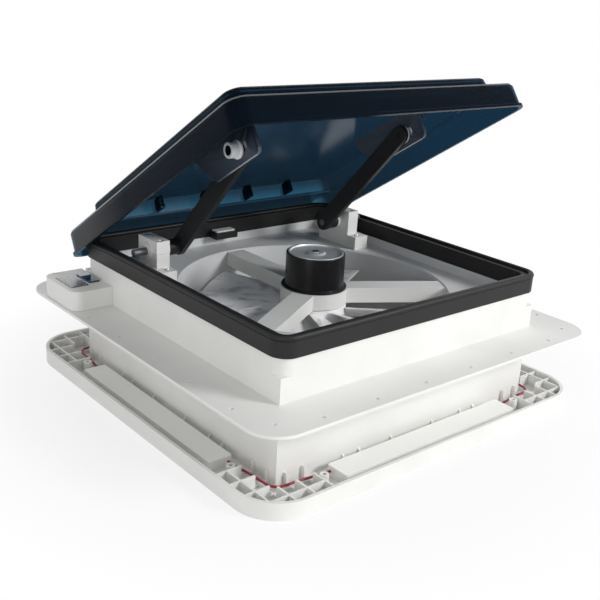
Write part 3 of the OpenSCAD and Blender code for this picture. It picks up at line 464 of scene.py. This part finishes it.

# %% [markdown]
# ## Standing in for a solid
# A piece that replaces a solid rides on the same body and takes a finish, the solid's or one of its own.
# Two helpers do that: one for a mesh made here, and one that copies the solid, merges its loose triangles
# and rounds its edges with a Bevel modifier. On the way the slide bushes are made a little shorter, and
# the lid brackets get round corners.

# %% Helpers for pieces
MERGE = 0.002 * MM
THICKEST_SHEET = 4.5 * MM
BRACKET_CORNER = 5.0 * MM
BUSH_CUT = 4.5 * MM
bush_end = max(abs(corner[0]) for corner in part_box("slide_bush_right")) - BUSH_CUT
OWN_FINISH = {"motor_spider": "white_plastic"}
for hand in HANDS:
    OWN_FINISH |= {"slide_bush_" + hand: "bush_plastic", "lift_shaft_" + hand: "grey_metal"}
# The light bars take the white plastic that is painted lighter against the flange's shade.
for side in SIDES:
    OWN_FINISH["light_bar_" + side] = "bar_plastic"


def stand_for(mesh, finish, node):
    """A new object with this mesh in place of one solid."""
    part = bpy.data.objects.new(node + "_dressed", mesh)
    scene.collection.objects.link(part)
    mesh.materials.clear()
    mesh.materials.append(finish)
    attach(part, body_of[node])
    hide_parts(node)
    return part


def soften(mesh, angle=35):
    """Smooth shading, with edges sharper than the angle kept."""
    mesh.shade_smooth()
    mesh.set_sharp_from_angle(angle=math.radians(angle))


def crosses_sheet(edge):
    """True for an edge along X through the sheet, at a corner of its outline."""
    run = edge.verts[1].co - edge.verts[0].co
    through = abs(run.x) > 0.99 * run.length and run.length < THICKEST_SHEET
    return through and edge.calc_face_angle(0) > math.radians(40)


def rounded(node, width):
    """A copy of a solid with its edges rounded by width in millimetres and its large faces kept flat."""
    shape = bmesh.new()
    shape.from_mesh(frame["nodes"][node].data)
    bmesh.ops.remove_doubles(shape, verts=shape.verts, dist=MERGE)
    bmesh.ops.dissolve_limit(shape, angle_limit=math.radians(0.5), verts=shape.verts, edges=shape.edges)
    if node.startswith("slide_bush"):
        for vert in shape.verts:
            vert.co.x = max(-bush_end, min(bush_end, vert.co.x))
    if node.startswith("lid_bracket"):
        edges = [edge for edge in shape.edges if crosses_sheet(edge)]
        bmesh.ops.bevel(shape, geom=edges, offset=BRACKET_CORNER, segments=5, affect="EDGES")
    mesh = bpy.data.meshes.new(node + "_rounded")
    shape.to_mesh(mesh)
    shape.free()
    mesh.shade_smooth()
    part = stand_for(mesh, finishes[OWN_FINISH.get(node, slot_of[node])], node)
    edge = part.modifiers.new("edges", "BEVEL")
    edge.width = width * MM
    edge.segments = 2
    edge.limit_method = "ANGLE"
    edge.angle_limit = math.radians(30)
    flats = part.modifiers.new("flats", "WEIGHTED_NORMAL")
    flats.weight = 100
    return part


print("helpers ready")

# %% [markdown]
# ## Moulded pieces with rounded edges
# Every moulding tool has small radii, and they catch the light as thin bright lines. The flat parts of
# the vent are right as they are, so only their edges change.

# %% Rounded pieces
EDGE_MM = {
    "ceiling_trim": 0.7, "roof_base": 0.8, "rim_frame": 1.0, "fan_deck": 0.8, "motor_spider": 0.6,
    "lid_shell": 0.8, "rain_sensor_housing": 2.2, "lid_sensor_pad": 0.5, "control_box": 1.0,
}
PAIR_EDGE_MM = {
    "lift_block_": 0.7, "lift_cap_": 0.7, "lift_arm_": 1.0, "lid_bracket_": 0.6, "slide_bush_": 0.5,
    "lift_shaft_": 0.5, "lift_motor_": 0.8,
}
for side in SIDES:
    EDGE_MM |= {"light_bar_" + side: 0.9, "light_lens_" + side: 0.3}
for hand in HANDS:
    EDGE_MM |= {pair + hand: width for pair, width in PAIR_EDGE_MM.items()}
for spot in ("left", "middle", "right"):
    EDGE_MM["hinge_bracket_" + spot] = 0.6
pieces = {node: rounded(node, width) for node, width in EDGE_MM.items()}
print("rounded", len(pieces))

# %% [markdown]
# ## Turned and drawn pieces
# The motor can is drawn from sheet and its cap is turned, so both are round about one axis and have small
# radii at every corner. A profile of radius, height and corner radius is spun round the axis, which gives
# clean rings.

# %% Spinning a profile
def softened_profile(corners, steps=4):
    """Closed profile with a curve in place of each corner that has a third number, its radius."""
    line = []
    for index, (radius, height, *fillet) in enumerate(corners):
        here = Vector((radius, height))
        if not fillet:
            line.append(here)
            continue
        before = Vector(corners[index - 1][:2])
        after = Vector(corners[(index + 1) % len(corners)][:2])
        start = here + (before - here).normalized() * fillet[0]
        end = here + (after - here).normalized() * fillet[0]
        for step in range(steps + 1):
            part = step / steps
            line.append(start * (1 - part) ** 2 + here * 2 * part * (1 - part) + end * part ** 2)
    return line


def spun(name, corners, segments=112):
    """Mesh of a closed profile in millimetres spun round the fan's axis."""
    line = softened_profile(corners)
    shape = bmesh.new()
    rings = []
    for number in range(segments):
        angle = 2 * math.pi * number / segments
        spoke = Vector((math.cos(angle), math.sin(angle), 0))
        rings.append([shape.verts.new(AXIS + (spoke * r + Vector((0, 0, z))) * MM) for r, z in line])
    for number, ring in enumerate(rings):
        other = rings[(number + 1) % segments]
        for k in range(len(line)):
            shape.faces.new((ring[k - 1], other[k - 1], other[k], ring[k]))
    bmesh.ops.recalc_face_normals(shape, faces=shape.faces)
    mesh = bpy.data.meshes.new(name)
    shape.to_mesh(mesh)
    shape.free()
    soften(mesh, 50)
    return mesh


print("profile spinner ready")

# %% Motor can and cap
CAN = [
    (4.05, 117), (36, 117, 0.4), (36, 119, 0.7), (32.5, 119, 0.8), (32.5, 155, 0.9), (30.5, 155, 0.5),
    (30.5, 121), (4.05, 121),
]
CAP = [
    (4.05, 152.3), (30.45, 152.3, 0.3), (30.45, 155.6, 0.5), (28.45, 155.6, 0.5), (28.0, 153.7, 0.9),
    (13, 153.4, 0.5), (11, 153.6, 0.6), (9, 155.5, 0.8), (4.05, 155.5, 0.2),
]
can = stand_for(spun("motor_can_spun", CAN), finishes["black_metal"], "motor_can")
cap = stand_for(spun("motor_cap_spun", CAP), finishes["polished_steel"], "motor_cap")
print("motor can", len(can.data.polygons), "cap", len(cap.data.polygons))

# %% [markdown]
# ## Geometry trees
# What repeats or follows a rule is grown by Geometry Nodes. The same Link class writes the sums. A tree
# gets named inputs for its sizes, they are set on the modifier by identifier, and the result is taken out
# as a plain mesh.

# %% Tree helpers
SOCKETS = {float: "NodeSocketFloat", int: "NodeSocketInt"}


def new_tree(name, **kinds):
    """A geometry tree with these inputs, and a Link for each of them."""
    tree = bpy.data.node_groups.new(name, "GeometryNodeTree")
    tree.interface.new_socket("Geometry", in_out="OUTPUT", socket_type="NodeSocketGeometry")
    for label, kind in kinds.items():
        tree.interface.new_socket(label, in_out="INPUT", socket_type=SOCKETS.get(kind, kind))
    entry = tree.nodes.new("NodeGroupInput")
    return tree, {label: Link(tree, entry.outputs[label]) for label in kinds}


def close_tree(tree, parts, finish):
    """Joins the parts, makes the instances real and gives them the finish."""
    join = tree.nodes.new("GeometryNodeJoinGeometry")
    for part in parts:
        tree.links.new(part.socket, join.inputs[0])
    real = Link(tree).node("GeometryNodeRealizeInstances", None, {0: Link(tree, join.outputs[0])})
    done = real.node("GeometryNodeSetMaterial", None, {"Geometry": real, "Material": finish})
    leave = tree.nodes.new("NodeGroupOutput")
    tree.links.new(done.socket, leave.inputs[0])


def grown(tree, base, **values):
    """The plain mesh that the tree makes of a base mesh with these input values."""
    holder = bpy.data.objects.new(tree.name, base)
    scene.collection.objects.link(holder)
    growth = holder.modifiers.new("growth", "NODES")
    growth.node_group = tree
    for item in tree.interface.items_tree:
        if item.in_out == "INPUT" and item.name in values:
            growth[item.identifier] = values[item.name]
    view = bpy.context.evaluated_depsgraph_get()
    mesh = bpy.data.meshes.new_from_object(holder.evaluated_get(view), depsgraph=view)
    holder.modifiers.remove(growth)
    bpy.data.objects.remove(holder)
    return mesh


print("tree helpers ready")

# %% [markdown]
# ## Fan
# The fan is one moulding: a cup-shaped hub and ten twisted, arched blades. A blade follows a rule in two
# numbers, the way out along it and the way round its section, so a flat grid is bent into it and merged
# where it meets itself. Most of the first and the last row goes into closing the blade's ends.

# %% Blade rule
ROWS, ROUND = 22, 41
CLOSING = 0.96
STEEP = 3
EDGE_TAPER = 2.4
tree, size = new_tree(
    "fan_blades", Geometry="NodeSocketGeometry", Blades=int, Root=float, Span=float, Root_chord=float,
    Tip_chord=float, Pitch=float, Twist=float, Arch=float, Thickness=float, Height=float, Centre=float,
    Finish="NodeSocketMaterial",
)
start = Link(tree)
grid_size = {"Size X": 1, "Size Y": 1, "Vertices X": ROWS, "Vertices Y": ROUND}
flat = start.node("GeometryNodeMeshGrid", None, grid_size)
where = start.node("GeometryNodeInputPosition")
axes_of = where.node("ShaderNodeSeparateXYZ", None, {0: where}).socket.node.outputs
row = (Link(tree, axes_of["X"]) + 0.5) * (ROWS - 1)
turn = (Link(tree, axes_of["Y"]) + 0.5) * (2 * math.pi)
along = ((row - CLOSING) / (ROWS - 1 - 2 * CLOSING)).within(0, 1)
closed = row.within(0, 1) * (ROWS - 1 - row).within(0, 1)
across = 0.5 * turn.cosine()
face = 0.5 * (STEEP * turn.sine()).within(-1, 1) - 0.5
print("blade grid", ROWS, "by", ROUND)

# %% Blade shape
chord = (size["Root_chord"] + (size["Tip_chord"] - size["Root_chord"]) * along) * across
wall = size["Thickness"] * (1 - EDGE_TAPER * across * across) * closed
lift = size["Arch"] * (1 - 4 * across * across) + face * wall
tilt = math.pi / 2 - size["Pitch"] + size["Twist"] * along
shaped = start.node("ShaderNodeCombineXYZ", None, {
    0: size["Root"] + size["Span"] * along,
    1: chord * tilt.sine() + lift * tilt.cosine(),
    2: size["Height"] - chord * tilt.cosine() + lift * tilt.sine(),
})
bent = flat.node("GeometryNodeSetPosition", None, {"Geometry": flat, "Position": shaped})
blade = bent.node("GeometryNodeMergeByDistance", None, {"Geometry": bent, "Distance": 0.01 * MM})
print("blade shape ready")

# %% Blades round the hub
line = start.node("GeometryNodeMeshLine", None, {"Count": size["Blades"], "Offset": (0, 0, 0)})
number = start.node("GeometryNodeInputIndex")
spin = start.node("ShaderNodeCombineXYZ", None, {2: number * (2 * math.pi) / size["Blades"]})
ring = line.node("GeometryNodeInstanceOnPoints", None, {"Points": line, "Instance": blade, "Rotation": spin})
middle = start.node("ShaderNodeCombineXYZ", None, {1: size["Centre"]})
placed = ring.node("GeometryNodeTransform", None, {"Geometry": ring, "Translation": middle})
close_tree(tree, [placed, size["Geometry"]], size["Finish"])
print("blades set round the hub")

# %% Fan mesh
HUB = [
    (4.02, 76, 0.3), (37, 76, 2.0), (37, 99, 0.6), (34.5, 99, 0.5), (34.5, 78.5, 0.8), (10, 78.5, 0.8),
    (10, 99, 0.5), (4.02, 99, 0.3),
]
ROOT_CHORD = 46 * MM
mesh = grown(
    tree, spun("fan_hub", HUB, 96), Blades=10, Root=35 * MM, Span=106 * MM, Root_chord=ROOT_CHORD,
    Tip_chord=58 * MM, Pitch=math.radians(32), Twist=math.radians(12), Arch=0.09 * ROOT_CHORD,
    Thickness=2.2 * MM, Height=85.71 * MM, Centre=AXIS.y, Finish=finishes["fan_plastic"],
)
soften(mesh, 50)
fan = stand_for(mesh, finishes["fan_plastic"], "fan_rotor")
print("fan faces", len(fan.data.polygons), "size", [round(side / MM, 1) for side in fan.dimensions])

# %% [markdown]
# ## Screws
# All the screws are the same pan head with a cross recess. One head is built point by point; the tree puts
# it on a point for each screw, turned to the screw's direction, and adds a shank of that screw's length.

# %% Screw head
HEAD_RADIUS, HEAD_HEIGHT, SHANK_RADIUS = 2.8 * MM, 2.0 * MM, 1.5 * MM
SHANK_DROP = 1.2 * MM


def cross_head(radius, height, arm, half_width, depth):
    """Pan head with its top at the origin, and a cross recess in it."""
    shape = bmesh.new()
    sides = 28
    levels = [(0.62, 0.0), (0.86, -0.12), (1.0, -0.45), (1.0, -1.0)]
    turns = [2 * math.pi * k / sides for k in range(sides)]
    rings = []
    for share, drop in levels:
        wide, z = share * radius, drop * height
        rings.append([shape.verts.new((wide * math.cos(a), wide * math.sin(a), z)) for a in turns])
    for upper, lower in zip(rings, rings[1:]):
        for k in range(sides):
            shape.faces.new((upper[k - 1], lower[k - 1], lower[k], upper[k]))
    shape.faces.new(rings[-1])
    w, a = half_width, arm
    cross = [
        (a, -w), (a, w), (w, w), (w, a), (-w, a), (-w, w),
        (-a, w), (-a, -w), (-w, -w), (-w, -a), (w, -a), (w, -w),
    ]
    top = [shape.verts.new((x, y, 0)) for x, y in cross]
    foot = [shape.verts.new((0.7 * x, 0.7 * y, -depth)) for x, y in cross]
    edges = [shape.edges.new((top[k - 1], top[k])) for k in range(12)]
    outer = [shape.edges.get((rings[0][k - 1], rings[0][k])) for k in range(sides)]
    bmesh.ops.triangle_fill(shape, edges=edges + outer, use_beauty=True)
    for k in range(12):
        shape.faces.new((top[k - 1], top[k], foot[k], foot[k - 1]))
    shape.faces.new(foot)
    bmesh.ops.recalc_face_normals(shape, faces=shape.faces)
    mesh = bpy.data.meshes.new("cross_head")
    shape.to_mesh(mesh)
    shape.free()
    soften(mesh)
    return mesh


head = cross_head(HEAD_RADIUS, HEAD_HEIGHT, arm=1.3 * MM, half_width=0.32 * MM, depth=1.0 * MM)
head_holder = bpy.data.objects.new("cross_head", head)
print("screw head faces", len(head.polygons))

# %% Screw tree
screw_tree, size = new_tree(
    "screw_set", Geometry="NodeSocketGeometry", Head="NodeSocketObject", Shank_radius=float,
    Finish="NodeSocketMaterial",
)
start = Link(screw_tree)
axis_of = start.node("GeometryNodeInputNamedAttribute", {"data_type": "FLOAT_VECTOR"}, {"Name": "axis"})
reach = start.node("GeometryNodeInputNamedAttribute", {"data_type": "FLOAT"}, {"Name": "reach"})
turned = start.node("FunctionNodeAlignRotationToVector", {"axis": "Z"}, {"Vector": axis_of})
shape_of = start.node("GeometryNodeObjectInfo", None, {"Object": size["Head"]}, out="Geometry")
heads = start.node("GeometryNodeInstanceOnPoints", None, {
    "Points": size["Geometry"], "Instance": shape_of, "Rotation": turned,
})
rod_size = {"Vertices": 16, "Radius": size["Shank_radius"], "Depth": 1}
rod = start.node("GeometryNodeMeshCylinder", None, rod_size)
hung = rod.node("GeometryNodeTransform", None, {"Geometry": rod, "Translation": (0, 0, -0.5)})
stretch = start.node("ShaderNodeCombineXYZ", None, {0: 1.0, 1: 1.0, 2: reach})
shanks = start.node("GeometryNodeInstanceOnPoints", None, {
    "Points": size["Geometry"], "Instance": hung, "Rotation": turned, "Scale": stretch,
})
lowered = start.node("ShaderNodeVectorMath", {"operation": "SCALE"}, {0: axis_of, "Scale": -SHANK_DROP})
sunk = shanks.node("GeometryNodeTranslateInstances", None, {
    "Instances": shanks, "Translation": lowered, "Local Space": False,
})
close_tree(screw_tree, [heads, sunk], size["Finish"])
print("screw tree nodes", len(screw_tree.nodes))

# %% Screw places
LID_DOWN = Matrix.Rotation(-LID_OPEN, 3, "X") @ Vector((0, 0, -1))
SCREWS = {
    "lift_block_screws": lambda place: Vector((0, 0, 1)),
    "bracket_screws": lambda place: LID_DOWN,
    "motor_screws": lambda place: Vector((0, 0, -1)),
    "spider_screws": lambda place: (Vector((place.x, place.y, 0)) - AXIS).normalized(),
}


def islands(mesh):
    """Points of each loose part of a mesh."""
    shape = bmesh.new()
    shape.from_mesh(mesh)
    bmesh.ops.remove_doubles(shape, verts=shape.verts, dist=MERGE)
    left = dict.fromkeys(shape.verts)
    found = []
    while left:
        group, front = [], [left.popitem()[0]]
        while front:
            vert = front.pop()
            group.append(vert.co.copy())
            for edge in vert.link_edges:
                other = edge.other_vert(vert)
                if other in left:
                    del left[other]
                    front.append(other)
        found.append(group)
    shape.free()
    return found


def screw_points(node, direction):
    """A point on the top of each screw's head, with its direction and length."""
    groups = islands(frame["nodes"][node].data)
    mesh = bpy.data.meshes.new(node + "_points")
    tops, axes_found, reaches = [], [], []
    for group in groups:
        centre = sum(group, Vector()) / len(group)
        axis = direction(centre)
        heights = [(point - centre).dot(axis) for point in group]
        tops.append(centre + axis * max(heights))
        axes_found.append(axis)
        reaches.append(max(heights) - min(heights) - SHANK_DROP)
    mesh.from_pydata(tops, [], [])
    numbers = [number for axis in axes_found for number in axis]
    mesh.attributes.new("axis", "FLOAT_VECTOR", "POINT").data.foreach_set("vector", numbers)
    mesh.attributes.new("reach", "FLOAT", "POINT").data.foreach_set("value", reaches)
    return mesh


for node, direction in SCREWS.items():
    points = screw_points(node, direction)
    count = len(points.vertices)
    mesh = grown(screw_tree, points, Head=head_holder, Shank_radius=SHANK_RADIUS, Finish=finishes["steel"])
    soften(mesh)
    stand_for(mesh, finishes["steel"], node)
    print(node, count, "screws", len(mesh.polygons), "faces")

# %% [markdown]
# ## Rain sensor
# The sensor's window is a dark board with a comb of bright metal fingers: drops bridge neighbouring
# fingers. The fingers repeat at one pitch and reach for the two rails in turn, so a tree sets them out
# along the board.

# %% Comb tree
comb_tree, size = new_tree(
    "sensor_comb", Geometry="NodeSocketGeometry", Fingers=int, Pitch=float, Finger_width=float,
    Finger_length=float, Shift=float, Rail_width=float, Rail_length=float, Thickness=float,
    Finish="NodeSocketMaterial",
)
start = Link(comb_tree)


def bar(length, width):
    """A flat bar of the comb with these sizes along X and Y."""
    extent = start.node("ShaderNodeCombineXYZ", None, {0: length, 1: width, 2: size["Thickness"]})
    return start.node("GeometryNodeMeshCube", None, {"Size": extent})


number = start.node("GeometryNodeInputIndex")
other_side = number.sum("MODULO", number, 2) * 2 - 1
spread = (number - (size["Fingers"] - 1) * 0.5) * size["Pitch"]
row_of = start.node("ShaderNodeCombineXYZ", None, {0: other_side * size["Shift"], 1: spread, 2: 0})
line = start.node("GeometryNodeMeshLine", None, {"Count": size["Fingers"], "Offset": (0, 0, 0)})
laid = line.node("GeometryNodeSetPosition", None, {"Geometry": line, "Position": row_of})
finger = bar(size["Finger_length"], size["Finger_width"])
fingers = laid.node("GeometryNodeInstanceOnPoints", None, {"Points": laid, "Instance": finger})
rail = bar(size["Rail_width"], size["Rail_length"])
edge_of = size["Finger_length"] * 0.5 + size["Shift"]
rails = []
for sign in (-1, 1):
    step = start.node("ShaderNodeCombineXYZ", None, {0: sign * edge_of})
    rails.append(rail.node("GeometryNodeTransform", None, {"Geometry": rail, "Translation": step}))
close_tree(comb_tree, [fingers, *rails], size["Finish"])
print("comb tree nodes", len(comb_tree.nodes))

# %% Sensor comb
FINGERS = 11
RAISED = 0.6 * MM
MARGIN = 1.6 * MM
RAIL_WIDTH = 1.0 * MM
FINGER_SHIFT = 0.6 * MM
COMB_DEPTH = 1.2 * RAISED
low, high = (Vector(corner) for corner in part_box("rain_sensor_plate"))
wide, deep = high.x - low.x, high.y - low.y
board_top = high.z - RAISED
pitch = (deep - 2 * MARGIN) / FINGERS
mesh = grown(
    comb_tree, bpy.data.meshes.new("comb_base"), Fingers=FINGERS, Pitch=pitch, Finger_width=0.55 * pitch,
    Finger_length=wide - 2 * MARGIN - 3 * RAIL_WIDTH, Shift=FINGER_SHIFT, Rail_width=RAIL_WIDTH,
    Rail_length=deep - 2 * MARGIN, Thickness=COMB_DEPTH, Finish=finishes["steel"],
)
middle = (low + high) / 2
middle.z = high.z - COMB_DEPTH / 2
mesh.transform(Matrix.Translation(middle))
comb = stand_for(mesh, finishes["steel"], "rain_sensor_plate")
print("sensor comb", len(comb.data.polygons), "faces")

# %% Sensor board
shape = bmesh.new()
bmesh.ops.create_cube(shape, size=1.0)
for vert in shape.verts:
    share = vert.co + Vector((0.5, 0.5, 0.5))
    vert.co = Vector((low.x + wide * share.x, low.y + deep * share.y, low.z + (board_top - low.z) * share.z))
bmesh.ops.bevel(shape, geom=shape.edges, offset=0.3 * MM, segments=2, affect="EDGES")
mesh = bpy.data.meshes.new("sensor_board")
shape.to_mesh(mesh)
shape.free()
soften(mesh)
mesh.materials.append(finishes["sensor_lens"])
board = bpy.data.objects.new("sensor_board", mesh)
scene.collection.objects.link(board)
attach(board, body_of["rain_sensor_plate"])
print("sensor board", len(board.data.polygons), "faces")

# %% [markdown]
# ## Solids that stay
# Pins, rings and other turned parts have the right shape already, so they only get their finish.

# %% Finishes on the solids
for node, part in frame["nodes"].items():
    part.data.materials.clear()
    part.data.materials.append(finishes[slot_of[node]])
    soften(part.data)
print("finished solids", len(frame["nodes"]))

# %% [markdown]
# ## Floor and light
# A white studio: one wide floor, an even white surround, a lamp from the right front that shines in under
# the lid, and a weak one from the left. The floor fades into plain white away from the vent, so no
# horizon shows. Floor and surround are white to the eye and in mirrors, but the surround lights the vent
# with less.

# %% Floor
FLOOR_HALF = 40.0
WHITE_NEAR = 0.75
FADE = (0.25, 0.42)


def shown_rays(tree):
    """1 for a ray that shows a surface: to the camera, off a mirror or through a clear sheet."""
    outputs = Link(tree).node("ShaderNodeLightPath").socket.node.outputs
    kinds = ("Camera", "Glossy", "Transmission")
    return sum(Link(tree, outputs[f"Is {kind} Ray"]) for kind in kinds).ramp(0.0, 1.0)


mesh = bpy.data.meshes.new("floor")
corners = [(x * FLOOR_HALF, y * FLOOR_HALF, 0) for x, y in ((-1, -1), (1, -1), (1, 1), (-1, 1))]
mesh.from_pydata(corners, [], [(0, 1, 2, 3)])
floor = bpy.data.objects.new("floor", mesh)
scene.collection.objects.link(floor)
print("floor", 2 * FLOOR_HALF, "m wide")

# %% Floor finish
material, shader, place = new_finish("floor_white")
tree = material.node_tree
fixed(shader, Base_Color=(0.9, 0.9, 0.9, 1), Roughness=0.9, Specular_IOR_Level=0.1)
distance = place.node("ShaderNodeVectorMath", {"operation": "LENGTH"}, {0: place}, out=1)
white = place.node("ShaderNodeEmission", None, {"Color": (1, 1, 1, 1), "Strength": 1.0})
share = shown_rays(tree) * (WHITE_NEAR + (1 - WHITE_NEAR) * distance.ramp(*FADE))
lit = Link(tree, shader.outputs[0])
mixed = place.node("ShaderNodeMixShader", None, {0: share, 1: lit, 2: white})
tree.links.new(mixed.socket, tree.nodes["Material Output"].inputs["Surface"])
floor.data.materials.append(material)
print("floor fades to white from", FADE[0], "to", FADE[1], "m")

# %% Surround
SURROUND = 0.54
world = bpy.data.worlds.new("studio")
scene.world = world
world.use_nodes = True
tree = world.node_tree
around = tree.nodes["Background"]
around.inputs["Color"].default_value = (1, 1, 1, 1)
strength = shown_rays(tree) * (1 - SURROUND) + SURROUND
tree.links.new(strength.socket, around.inputs["Strength"])
print("surround lights with", SURROUND)

# %% Lamps
def lamp(name, at, aim, size, power):
    """A round soft lamp that points at a place."""
    light = bpy.data.lights.new(name, "AREA")
    light.shape = "DISK"
    light.size = size
    light.energy = power
    holder = bpy.data.objects.new(name, light)
    scene.collection.objects.link(holder)
    holder.location = at
    holder.rotation_mode = "QUATERNION"
    holder.rotation_quaternion = (Vector(aim) - Vector(at)).to_track_quat("-Z", "Y")
    print(name, "lamp", power, "W")


lamp("key", at=(1.10, -1.92, 1.22), aim=(0, 0, 0.12), size=0.7, power=36)
lamp("fill", at=(-2.0, -0.9, 0.2), aim=(0, 0, 0.1), size=0.8, power=10)
